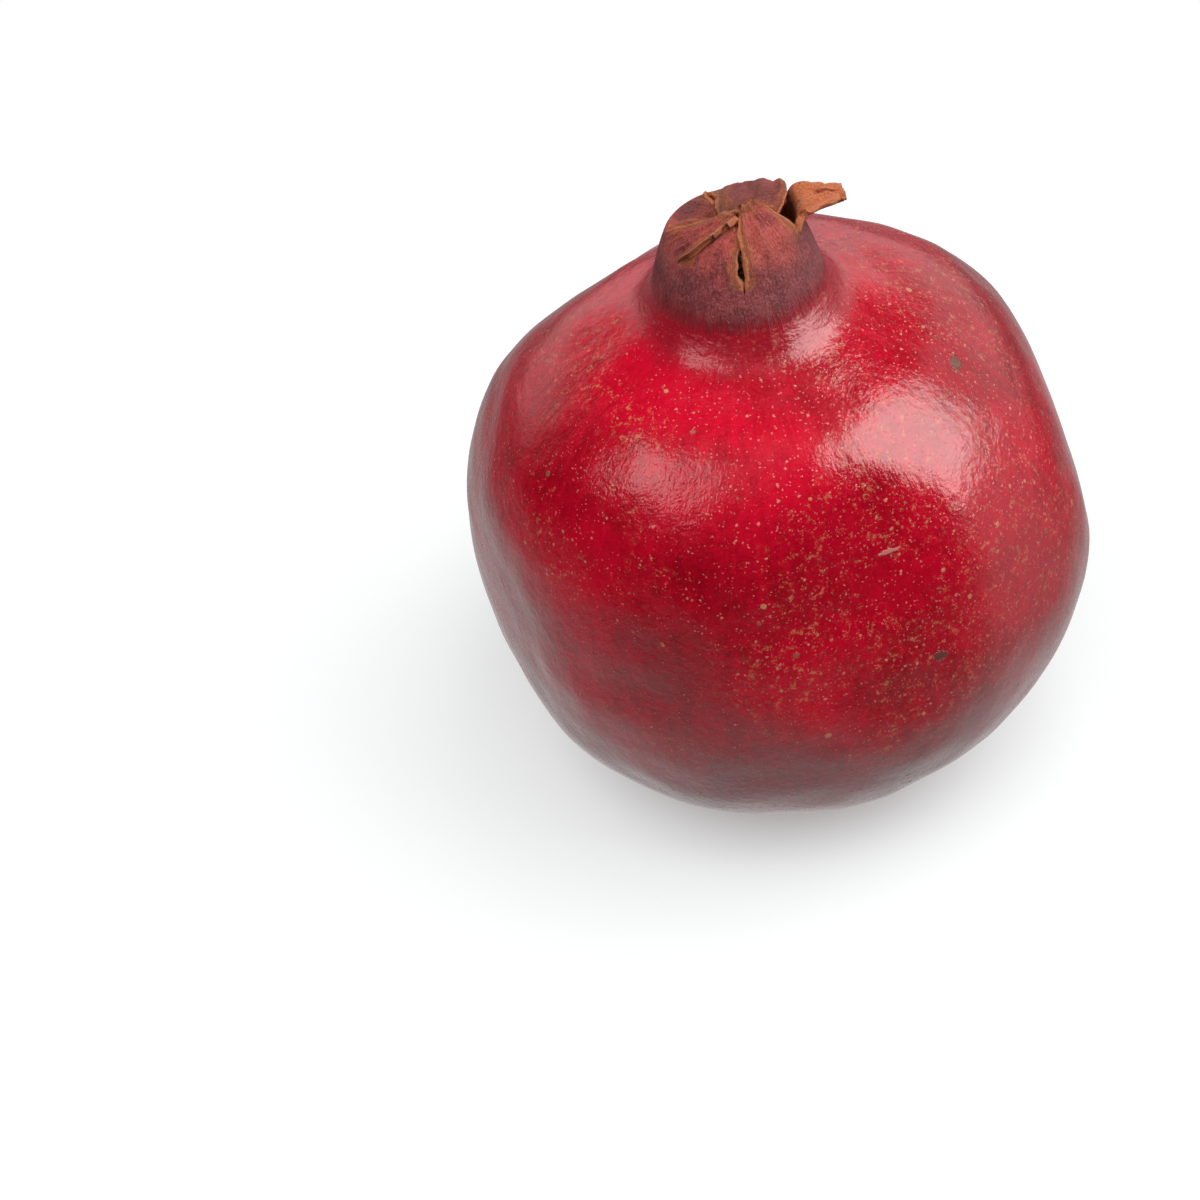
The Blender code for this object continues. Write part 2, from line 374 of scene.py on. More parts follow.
class SurfaceGraph(Graph):
    """The node tree of a new material, with a Principled shader at its end."""

    def __init__(self, slot: Slot, name: str, specular: float = 0.5, sheen: float = 0.0) -> None:
        """Starts a material.

        Args:
            slot: The record's slot that the finish belongs to.
            name: The finish's name, which follows the slot's.
            specular: The shader's specular level.
            sheen: The weight of its sheen.
        """
        self.material = bpy.data.materials.new(f"{slot.value}_{name}")
        self.material.use_nodes = True
        super().__init__(self.material.node_tree)
        self.shader = self.tree.nodes["Principled BSDF"]
        self.shader.inputs["Specular IOR Level"].default_value = specular
        self.shader.inputs["Sheen Weight"].default_value = sheen

    def finish(self, colour: Wire, roughness: Wire | float, relief: Wire) -> bpy.types.Material:
        """Wires up the shader.

        Args:
            colour: The base colour.
            roughness: The roughness.
            relief: The fine relief in millimetres, which only bends the normal.

        Returns:
            The material.
        """
        bump = self.node("ShaderNodeBump", {}, {"Height": relief, "Strength": 1.0, "Distance": MM})
        self.tree.links.new(colour.socket, self.shader.inputs["Base Color"])
        self.tree.links.new(bump.socket, self.shader.inputs["Normal"])
        if isinstance(roughness, Wire):
            self.tree.links.new(roughness.socket, self.shader.inputs["Roughness"])
        else:
            self.shader.inputs["Roughness"].default_value = roughness
        return self.material


@dataclass(frozen=True)
class Skin:
    """Coordinates of the fruit's surface that its finishes share."""

    graph: Graph
    spot: Wire  # the place in millimetres
    height: Wire  # along the growth axis
    lines: Wire  # a vector that varies fast round the axis and slowly along the meridians
    reach: ClassVar[float] = 30.0  # a turn of 1 radian counts like this many millimetres
    slowness: ClassVar[float] = 0.12  # the same for a millimetre along a meridian

    @classmethod
    def of(cls, graph: Graph, axis: GrowthAxis) -> "Skin":
        """Works the coordinates out in a graph.

        Args:
            graph: The graph that gets the nodes.
            axis: The fruit's own frame.

        Returns:
            The coordinates.
        """
        spot = graph.millimetres(axis)
        x, y, height = graph.parts(spot)
        share = graph.rise(height, axis.offset_from, axis.offset_to)
        x = x - share * axis.neck_offset[0]
        y = y - share * axis.neck_offset[1]
        radius = ((x * x + y * y) ** 0.5).most(0.5)
        upper = graph.rise(height, -25.0, 25.0) * 2 - 1
        along = height - (radius - 45.0) * upper * 0.6
        lines = graph.vector(x / radius * cls.reach, y / radius * cls.reach, along * cls.slowness)
        return cls(graph, spot, height, lines)


@dataclass(frozen=True)
class CalyxFinish:
    """The dull, downy skin of the neck and the sepals, which are one growth."""

    dark: Colour = (0.11, 0.006, 0.012)
    plum: Colour = (0.38, 0.058, 0.064)
    down: Colour = (0.60, 0.22, 0.22)
    russet: Colour = (0.60, 0.088, 0.064)
    fuzz_height: float = 0.60
    crease_height: float = 0.50

    def colour(self, skin: Skin) -> Wire:
        """The skin's colour, from dark red at the foot of the neck to russet at the tips.

        Args:
            skin: The surface coordinates.

        Returns:
            The colour.
        """
        graph = skin.graph
        patches = graph.noise(skin.spot, 0.30, 3.0)
        level = skin.height + (patches - 0.5) * 8.0
        colour = graph.mix(graph.rise(level, 45.5, 50.0), self.dark, self.plum)
        colour = graph.mix(graph.rise(level, 51.5, 58.0), colour, self.russet)
        colour = graph.mix(graph.rise(patches, 0.60, 0.36) * 0.45, colour, self.dark)
        fuzz = self.fuzz(skin)
        colour = graph.mix(graph.rise(fuzz, 0.49, 0.41) * 0.55, colour, self.dark)
        downy = graph.rise(level, 46.0, 54.0) * 0.18 + 0.24
        return graph.mix(graph.rise(fuzz, 0.51, 0.60) * downy, colour, self.down)

    def fuzz(self, skin: Skin) -> Wire:
        """Short felted hair that leans along the meridians.

        Args:
            skin: The surface coordinates.

        Returns:
            The hair's height, round 0.5.
        """
        graph = skin.graph
        fibres = graph.noise(graph.stretch(skin.lines, (0.55, 0.55, 5.0)), 2.2, 4.0, 0.7)
        return fibres * 0.5 + graph.noise(skin.spot, 2.8, 3.0, 0.7) * 0.5

    def relief(self, skin: Skin) -> Wire:
        """The skin's fine relief.

        Args:
            skin: The surface coordinates.

        Returns:
            The relief in millimetres.
        """
        graph = skin.graph
        creases = graph.noise(graph.stretch(skin.lines, (1.0, 1.0, 3.0)), 0.7, 3.0, 0.6)
        return self.fuzz(skin) * self.fuzz_height + creases * self.crease_height


@dataclass(frozen=True)
class Mark:
    """A scab or a scar on the rind."""

    azimuth: float
    height: float
    distance: float  # from the middle of the body
    size: float
    stretch: Point  # more than 1 makes it narrower that way
    colour: Colour

    def place(self) -> Vector:
        """The mark's middle."""
        radius = math.sqrt(self.distance**2 - self.height**2)
        return polar(self.azimuth, radius, self.height)


@dataclass(frozen=True)
class PoreSize:
    """Pores of one size: how many there are to a millimetre, and their radius in millimetres."""

    density: float
    least: float
    most: float


@dataclass(frozen=True)
class RindFinish:
    """Waxy crimson rind with pale pores, fine meridian lines and a few scabs."""

    deep: Colour = (0.30, 0.0008, 0.008)
    bright: Colour = (0.68, 0.002, 0.025)
    pore: Colour = (0.80, 0.22, 0.18)
    tan: Colour = (0.66, 0.30, 0.13)
    cork: Colour = (0.28, 0.11, 0.05)
    lining: Colour = (0.50, 0.27, 0.13)
    # a darker red for the band round the foot of the neck
    neck_foot_red: Colour = (0.27, 0.012, 0.024)
    clean_roughness: float = 0.12
    dull_roughness: float = 0.78
    pebble_height: float = 0.115
    grain_height: float = 0.034
    fold_height: float = 0.14
    scar_height: float = 0.10
    pore_sizes: tuple[PoreSize, ...] = (
        PoreSize(density=1.75, least=0.07, most=0.20),
        PoreSize(density=0.70, least=0.08, most=0.30),
        PoreSize(density=0.28, least=0.14, most=0.52),
    )
    marks: tuple[Mark, ...] = (
        Mark(337.0, 33.0, 43.5, 1.15, (1.0, 1.0, 1.6), (0.12, 0.035, 0.010)),
        Mark(301.0, 4.0, 43.5, 1.0, (1.0, 1.0, 1.3), (0.13, 0.025, 0.012)),
        Mark(295.0, 21.0, 43.3, 1.1, (0.8, 1.0, 3.8), (0.66, 0.19, 0.17)),
        Mark(7.0, 22.0, 43.0, 1.90, (1.0, 2.6, 0.8), (0.33, 0.14, 0.10)),
    )

    def material(self, axis: GrowthAxis) -> bpy.types.Material:
        """The rind's material.

        Args:
            axis: The fruit's own frame.

        Returns:
            The material.
        """
        graph = SurfaceGraph(Slot.RIND, "waxy_crimson")
        skin = Skin.of(graph, axis)
        lines = graph.noise(skin.lines, 0.9, 3.0, 0.6)
        hairlines = graph.noise(skin.lines, 3.4, 3.0, 0.6)
        colour = self._flesh(skin, lines, hairlines)
        (pale, tan, corky), pore_relief = self._pores(skin)
        right, _, _ = graph.parts(skin.spot)
        rubbed = graph.noise(skin.spot, 0.07, 2.0) + graph.rise(right, -20.0, 35.0) * 0.14
        rust = graph.rise(graph.noise(skin.spot, 0.9, 6.0, 0.8), 0.55, 0.63)
        rust = rust * graph.rise(rubbed, 0.50, 0.64)
        colour = graph.mix(rust * 0.50, colour, self.tan)
        colour = graph.mix(pale, colour, self.pore)
        colour = graph.mix(tan, colour, self.tan)
        colour = graph.mix(corky, colour, self.cork)
        colour, scarred = self._scar(skin, colour)

        # a darker, rougher red band round the foot of the neck
        neck_foot_band = graph.rise(skin.height + (lines - 0.5) * 6.0, 40.5, 45.0)
        colour = graph.mix(neck_foot_band * 0.50, colour, self.neck_foot_red)
        neck = graph.rise(skin.height + (lines - 0.5) * 5.0, 46.2, 50.4)
        calyx = CalyxFinish()
        colour = graph.mix(neck, colour, calyx.colour(skin))
        stem = graph.attribute("stem")
        colour = graph.mix(stem, colour, self.cork)
        cup = graph.attribute("cup")
        colour = graph.mix(cup, colour, self.lining)

        dull = neck.most(stem).most(cup)
        patchy = graph.noise(skin.spot, 0.35, 4.0, 0.6)
        spotted = pale.most(tan).most(corky).most(scarred)
        gloss = self.clean_roughness + patchy * 0.11 + neck_foot_band * 0.08 + spotted * 0.3 + rust * 0.15
        roughness = gloss * (1 - dull) + dull * self.dull_roughness
        raised = pore_relief + scarred * self.scar_height
        return graph.finish(colour, roughness, self._relief(skin, lines, hairlines, raised, neck))

    def _flesh(self, skin: Skin, lines: Wire, hairlines: Wire) -> Wire:
        """The red below the pores, cloudy and faintly lined.

        Args:
            skin: The surface coordinates.
            lines: Broad meridian lines.
            hairlines: Fine meridian lines.

        Returns:
            The colour.
        """
        graph = skin.graph
        clouds = graph.noise(skin.spot, 0.045, 3.0, 0.55)
        mottle = graph.noise(skin.spot, 0.55, 4.0, 0.65)
        grain = graph.noise(skin.spot, 3.0, 2.0, 0.6)
        tone = clouds * 0.75 + lines * 0.3 + hairlines * 0.2 + mottle * 0.36 + grain * 0.3 - 0.46
        return graph.mix(graph.rise(tone, 0.24, 0.74), self.deep, self.bright)

    def _relief(self, skin: Skin, lines: Wire, hairlines: Wire, pores: Wire, neck: Wire) -> Wire:
        """The fine relief of the whole rind.

        Args:
            skin: The surface coordinates.
            lines: Broad meridian lines.
            hairlines: Fine meridian lines.
            pores: The relief of the pores and the scars.
            neck: Where the downy neck is.

        Returns:
            The relief in millimetres.
        """
        graph = skin.graph
        pebbles = graph.noise(skin.spot, 0.75, 3.0, 0.6) * self.pebble_height
        grain = graph.noise(skin.spot, 2.6, 2.0, 0.5) * self.grain_height
        fillet = graph.rise(skin.height, 35.0, 43.0)
        folds = graph.noise(graph.stretch(skin.spot, (0.5, 0.5, 1.5)), 0.9, 3.0, 0.6) * fillet
        fibres = (hairlines * 0.024 + lines * 0.04) * (1 - fillet * 0.8)
        wax = pebbles + grain + fibres + folds * self.fold_height + pores
        return wax * (1 - neck) + CalyxFinish().relief(skin) * neck

    def _scar(self, skin: Skin, colour: Wire) -> tuple[Wire, Wire]:
        """Adds the scabs and scars to the colour.

        Args:
            skin: The surface coordinates.
            colour: The rind's colour without them.

        Returns:
            The colour, and where they are.
        """
        graph = skin.graph
        wobble = graph.noise(skin.spot, 1.4, 3.0, 0.7)
        outward = graph.node("ShaderNodeVectorMath", {"operation": "NORMALIZE"}, {0: skin.spot})
        scarred = wobble * 0.0
        for mark in self.marks:
            level = graph.stretch(outward, (mark.distance,) * 3)
            sockets = {0: level, 1: mark.place()}
            away = graph.node("ShaderNodeVectorMath", {"operation": "SUBTRACT"}, sockets)
            away = graph.stretch(away, mark.stretch)
            reach = graph.node("ShaderNodeVectorMath", {"operation": "LENGTH"}, {0: away}, "Value")
            share = graph.rise(reach / mark.size + (wobble - 0.5) * 2.4, 1.15, 0.75)
            colour = graph.mix(share * 0.95, colour, mark.colour)
            scarred = scarred.most(share)
        return colour, scarred

    def _pores(self, skin: Skin) -> tuple[tuple[Wire, Wire, Wire], Wire]:
        """The pores that speckle the rind.

        Args:
            skin: The surface coordinates.

        Returns:
            The shares of pale, tan and corky pores, and their relief in millimetres.
        """
        graph = skin.graph
        right, _, _ = graph.parts(skin.spot)
        crowd = graph.noise(skin.spot, 0.055, 2.0) + graph.noise(skin.spot, 0.4, 2.0) * 0.9 - 0.55
        crowd = crowd + graph.rise(right, -30.0, 35.0) * 0.32
        wobble = graph.node("ShaderNodeTexNoise", {}, {"Vector": skin.spot, "Scale": 3.0}, 1)
        bent = graph.node(
            "ShaderNodeVectorMath",
            {"operation": "MULTIPLY_ADD"},
            {0: wobble, 1: (0.5, 0.5, 0.5), 2: skin.spot},
        )
        layers = []
        for pores in self.pore_sizes:
            cells = graph.node("ShaderNodeTexVoronoi", {}, {"Vector": bent, "Scale": pores.density})
            outputs = cells.socket.node.outputs
            chance, kind, _ = graph.parts(Wire(graph, outputs["Color"]))
            size = pores.least + (pores.most - pores.least) * chance * (crowd * 2.2 - 0.25).clamp()
            dot = graph.rise((size * pores.density - cells) * (9.0 / pores.density), 0.0, 1.0)
            layers.append((dot, kind))
        (fine, _), (middle, middle_kind), (large, large_kind) = layers
        pale = (fine * 0.66).most(middle * graph.rise(middle_kind, 0.45, 0.5) * 0.75)
        tan = middle * graph.rise(middle_kind, 0.5, 0.45) * 0.7
        tan = tan.most(large * graph.rise(large_kind, 0.3, 0.35) * 0.75)
        corky = large * graph.rise(large_kind, 0.32, 0.28) * 0.8
        relief = (fine * 0.02).most(middle * 0.04).most(large * 0.05)
        return (pale, tan, corky), relief


@dataclass(frozen=True)
class SepalFinish:
    """Dry sepal: calyx skin outside, tawny inside, with pale torn margins, and painted shade inside the
    margins and on the back sepals.
    """

    tawny: Colour = (0.66, 0.165, 0.052)
    torn: Colour = (0.66, 0.20, 0.085)
    # dark brown: the colour of grit flecks, and of the painted shade
    crease: Colour = (0.09, 0.022, 0.014)

    def material(self, axis: GrowthAxis) -> bpy.types.Material:
        """The sepals' material.

        Args:
            axis: The fruit's own frame.

        Returns:
            The material.
        """
        graph = SurfaceGraph(Slot.SEPAL, "downy_leather", specular=0.3, sheen=0.08)
        skin = Skin.of(graph, axis)
        calyx = CalyxFinish()
        along = graph.attribute("along")
        margin = graph.attribute("margin")
        inside = graph.attribute("inside")
        across = graph.attribute("across")
        veins = graph.noise(graph.vector(across * 9.0, along * 1.6, inside * 5.0), 1.6, 4.0, 0.6)
        grit = graph.noise(skin.spot, 2.6, 4.0, 0.7)
        blotch = graph.noise(skin.spot, 0.7, 3.0, 0.6)
        # painted shade on the back sepals: their blades are darkened towards dark brown above the foot
        shade = graph.attribute("shade") * graph.rise(along, 0.2, 0.6)
        colour = graph.mix(shade, calyx.colour(skin), self.crease)
        dry = graph.rise(margin + (blotch - 0.5) * 1.2 + (veins - 0.5) * 0.6, 0.30, 0.80)
        tan = graph.mix(graph.rise(grit, 0.52, 0.36) * 0.5, self.tawny, self.crease)
        colour = graph.mix(dry * 0.85, colour, tan)
        flesh = graph.mix(graph.rise(veins, 0.35, 0.7), self.tawny, self.torn)
        flesh = graph.mix(graph.rise(grit, 0.50, 0.34) * 0.5, flesh, self.crease)
        colour = graph.mix(inside, colour, flesh)
        edge = graph.rise(margin + (grit - 0.5) * 0.35, 0.80, 0.93) * graph.rise(along, 0.0, 0.09)
        # painted shade: the outer face is darkened towards dark brown in a band just inside the free margins
        # and the tip
        shaded = graph.rise(margin + (blotch - 0.5) * 0.4, 0.55, 0.75) * (1 - inside)
        colour = graph.mix(shaded * 0.45, colour, self.crease)
        colour = graph.mix(edge, colour, graph.mix(graph.rise(grit, 0.35, 0.6), self.tawny, self.torn))
        relief = calyx.relief(skin) + veins * 0.3 + grit * 0.2
        return graph.finish(colour, 0.74, relief)


@dataclass(frozen=True)
class StamenFinish:
    """Dry straw-coloured filaments with tan anthers."""

    straw: Colour = (0.46, 0.24, 0.09)
    tan: Colour = (0.74, 0.50, 0.24)
    shade: Colour = (0.20, 0.09, 0.03)

    def material(self, axis: GrowthAxis) -> bpy.types.Material:
        """The stamens' material.

        Args:
            axis: The fruit's own frame.

        Returns:
            The material.
        """
        graph = SurfaceGraph(Slot.STAMEN, "straw", specular=0.3)
        spot = graph.millimetres(axis)
        tint = graph.noise(spot, 0.5, 2.0)
        grit = graph.noise(spot, 3.0, 3.0, 0.6)
        anther = graph.attribute("anther")
        colour = graph.mix(graph.rise(tint, 0.3, 0.7), self.shade, self.straw)
        colour = graph.mix(anther, colour, graph.mix(grit, self.straw, self.tan))
        return graph.finish(colour, 0.85, grit * 0.1)


@dataclass(frozen=True)
class WoodyFinish:
    """Dry plant stalk with grain along the axis."""

    slot: Slot
    light: Colour
    dark: Colour

    def material(self, axis: GrowthAxis) -> bpy.types.Material:
        """The stalk's material.

        Args:
            axis: The fruit's own frame.

        Returns:
            The material.
        """
        graph = SurfaceGraph(self.slot, "dry_grain", specular=0.3)
        skin = Skin.of(graph, axis)
        grain = graph.noise(graph.stretch(skin.spot, (3.0, 3.0, 0.5)), 1.2, 4.0, 0.65)
        pits = graph.noise(skin.spot, 2.5, 3.0, 0.7)
        colour = graph.mix(graph.rise(grain, 0.3, 0.7), self.dark, self.light)
        colour = graph.mix(graph.rise(pits, 0.6, 0.42) * 0.5, colour, self.dark)
        return graph.finish(colour, 0.85, grain * 0.25 + pits * 0.15)


# ---------------------------------------------------------------- pieces


@dataclass(frozen=True)
class Hanger:
    """Turns a bmesh into a finished piece of the model."""

    axis: GrowthAxis
    crease_angle: float = 55.0  # degrees; a sharper edge is shaded as a crease

    def hang(
        self,
        builder: bmesh.types.BMesh,
        name: str,
        nodes: Sequence[str],
        material: bpy.types.Material,
    ) -> bpy.types.Object:
        """Places a mesh in the model's frame, hangs it on the body and hides the CAD nodes that it replaces.

        Args:
            builder: The mesh in millimetres; it is freed.
            name: The piece's name.
            nodes: The CAD nodes that it replaces.
            material: Its finish.

        Returns:
            The piece's object.
        """
        builder.transform(self.axis.place)
        mesh = bpy.data.meshes.new(name)
        builder.to_mesh(mesh)
        builder.free()
        mesh.shade_smooth()
        mesh.set_sharp_from_angle(angle=math.radians(self.crease_angle))
        mesh.materials.append(material)
        piece = bpy.data.objects.new(name, mesh)
        bpy.context.scene.collection.objects.link(piece)
        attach(piece, BODY)
        for node in nodes:
            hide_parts(node)
        LOG.info("%s: %d faces", name, len(mesh.polygons))
        return piece


def spin_profile(profile: Sequence[Vector], steps: int) -> bmesh.types.BMesh:
    """Turns a profile round the axis into a closed mesh.

    Args:
        profile: Points in the XZ plane, the first and last of them on the axis.
        steps: The number of steps round the axis.

    Returns:
        The turned mesh, its faces pointing out.
    """
    builder = bmesh.new()
    corners = [builder.verts.new(point) for point in profile]
    edges = [builder.edges.new(pair) for pair in zip(corners, corners[1:])]
    bmesh.ops.spin(
        builder,
        geom=corners + edges,
        cent=(0.0, 0.0, 0.0),
        axis=(0.0, 0.0, 1.0),
        angle=math.tau,
        steps=steps,
        use_merge=True,
    )
    bmesh.ops.remove_doubles(builder, verts=builder.verts, dist=MERGE_DISTANCE)
    bmesh.ops.recalc_face_normals(builder, faces=builder.faces)
    return builder


@dataclass(frozen=True)
class Flat:
    """A side of the body that grew flattened against a branch or another fruit."""

    direction: Point
    distance: float
    softness: float


@dataclass(frozen=True)
class Rind:
    """The body with its neck, the cup inside the neck and the recess round the stem."""

    axis: GrowthAxis
    steps: int = 288
    spacing: float = 0.62
    rim_radius: float = 10.8
    rim_height: float = 51.3
    cup_radius: float = 8.6
    cup_floor: float = 38.5
    recess_radius: float = 4.4
    recess_floor: float = -36.6
    pressed_below: float = 36.3  # flats and the bulge fade out from here
    round_above: float = 42.3
    flats: tuple[Flat, ...] = (
        Flat((0.94, 0.25, 0.23), 41.6, 4.0),
        Flat((-0.49, 0.56, 0.66), 40.8, 5.0),
        Flat((0.10, 0.97, -0.10), 42.6, 4.0),
        Flat((-0.86, -0.42, -0.10), 43.4, 3.5),
        Flat((0.30, -0.92, 0.25), 43.2, 3.5),
    )
    bulge_direction: Point = (0.62, 0.55, 0.57)
    bulge_height: float = 2.1
    bulge_spread: float = 0.5  # radians
    lump_height: float = 0.55
    lump_spread: float = 17.0
    dimple_height: float = 0.16
    dimple_spread: float = 5.5
    fold_height: float = 0.10  # of the folds that run down from the neck

    def profile(self) -> list[Vector]:
        """The section: up the cup's wall, over the rim, down the neck and body, into the recess.

        Returns:
            The section's points, from the cup's floor to the recess's.
        """
        cup = (
            (0.0, self.cup_floor),
            (3.4, self.cup_floor + 0.3),
            (6.6, self.cup_floor + 1.9),
            (self.cup_radius, self.cup_floor + 5.4),
            (self.cup_radius + 0.1, self.rim_height - 3.0),
            (self.rim_radius - 2.0, self.rim_height - 0.3),
        )
        outside = (
            (self.rim_radius, self.rim_height),
            (11.5, 48.8),
            (12.5, 45.8),
            (14.8, 42.5),
            (19.5, 40.0),
            (27.0, 36.0),
            (35.0, 28.0),
            (41.5, 16.0),
            (44.8, 3.0),
            (44.2, -10.0),
            (39.5, -23.0),
            (31.0, -32.5),
            (20.0, -38.3),
            (12.0, -40.2),
            (6.6, -39.9),
            (self.recess_radius + 0.6, -39.0),
            (self.recess_radius, -38.0),
            (self.recess_radius - 0.3, self.recess_floor),
        )
        floor = [Vector((0.0, 0.0, self.recess_floor))]
        return outline(cup, self.spacing) + outline(outside, self.spacing) + floor

    def grown(self, point: Vector) -> Vector:
        """Where a point of the turned body lies once it has grown uneven.

        Args:
            point: A point of the turned body.

        Returns:
            The point, shifted with the neck, pressed flat and swollen.
        """
        fade = 1 - smoothstep(self.pressed_below, self.round_above, point.z)
        point = point + self.axis.neck_shift(point.z)
        for flat in self.flats:
            normal = Vector(flat.direction).normalized()
            excess = point.dot(normal) - flat.distance
            if excess > flat.softness:
                point = point - normal * excess * fade
            elif excess > -flat.softness:
                press = (excess + flat.softness) ** 2 / (4 * flat.softness)
                point = point - normal * press * fade
        outward = point.normalized()
        angle = outward.angle(Vector(self.bulge_direction))
        swell = self.bulge_height * math.exp(-((angle / self.bulge_spread) ** 2))
        return point + outward * swell * fade

    def lumps(self, point: Vector) -> float:
        """How far the outside stands proud of the smooth body.

        Args:
            point: A point of the smooth body.

        Returns:
            The height in millimetres.
        """
        fade = 1 - smoothstep(40.0, 47.0, point.z)
        broad = noise.noise(point / self.lump_spread) * self.lump_height
        small = noise.noise(point / self.dimple_spread + Vector((9.0, 0.0, 0.0))) * self.dimple_height
        neck_x, neck_y = self.axis.neck_offset
        turn = math.atan2(point.y - neck_y, point.x - neck_x)
        folds = math.sin(6 * turn + 0.8) + 0.6 * math.sin(11 * turn)
        near_neck = smoothstep(30.0, 41.0, point.z)
        return (broad + small) * fade + self.fold_height * folds * near_neck * fade

    def build(self) -> bmesh.types.BMesh:
        """Builds the rind.

        Returns:
            One closed mesh, with what lies in the cup and in the recess marked.
        """
        builder = spin_profile(self.profile(), self.steps)
        cup = builder.verts.layers.float.new("cup")
        stem = builder.verts.layers.float.new("stem")
        ground = self.axis.place.inverted()
        for vertex in builder.verts:
            radius = vertex.co.xy.length
            inside = vertex.co.z > self.cup_floor - 0.1 and radius < self.rim_radius - 1.0
            vertex[cup] = 1.0 if inside else 0.0
            below = smoothstep(-34.0, -38.5, vertex.co.z) if vertex.co.z < 0 else 0.0
            vertex[stem] = below * smoothstep(9.5, 5.0, radius)
            raised = not inside and radius > self.recess_radius + 1.0
            point = self.grown(vertex.co)
            if raised:
                point = point + point.normalized() * self.lumps(point)
            placed = self.axis.place @ point
            placed.z = max(placed.z, 0.0)
            vertex.co = ground @ placed
        return builder


@dataclass(frozen=True)
class Rib:
    """A line up a sepal: grown together with its neighbour at first, then free."""

    azimuth: float
    fused: float  # the height above the rim where it comes free
    free: tuple[Point, ...]  # (azimuth, distance from the crown's axis, height above the rim)


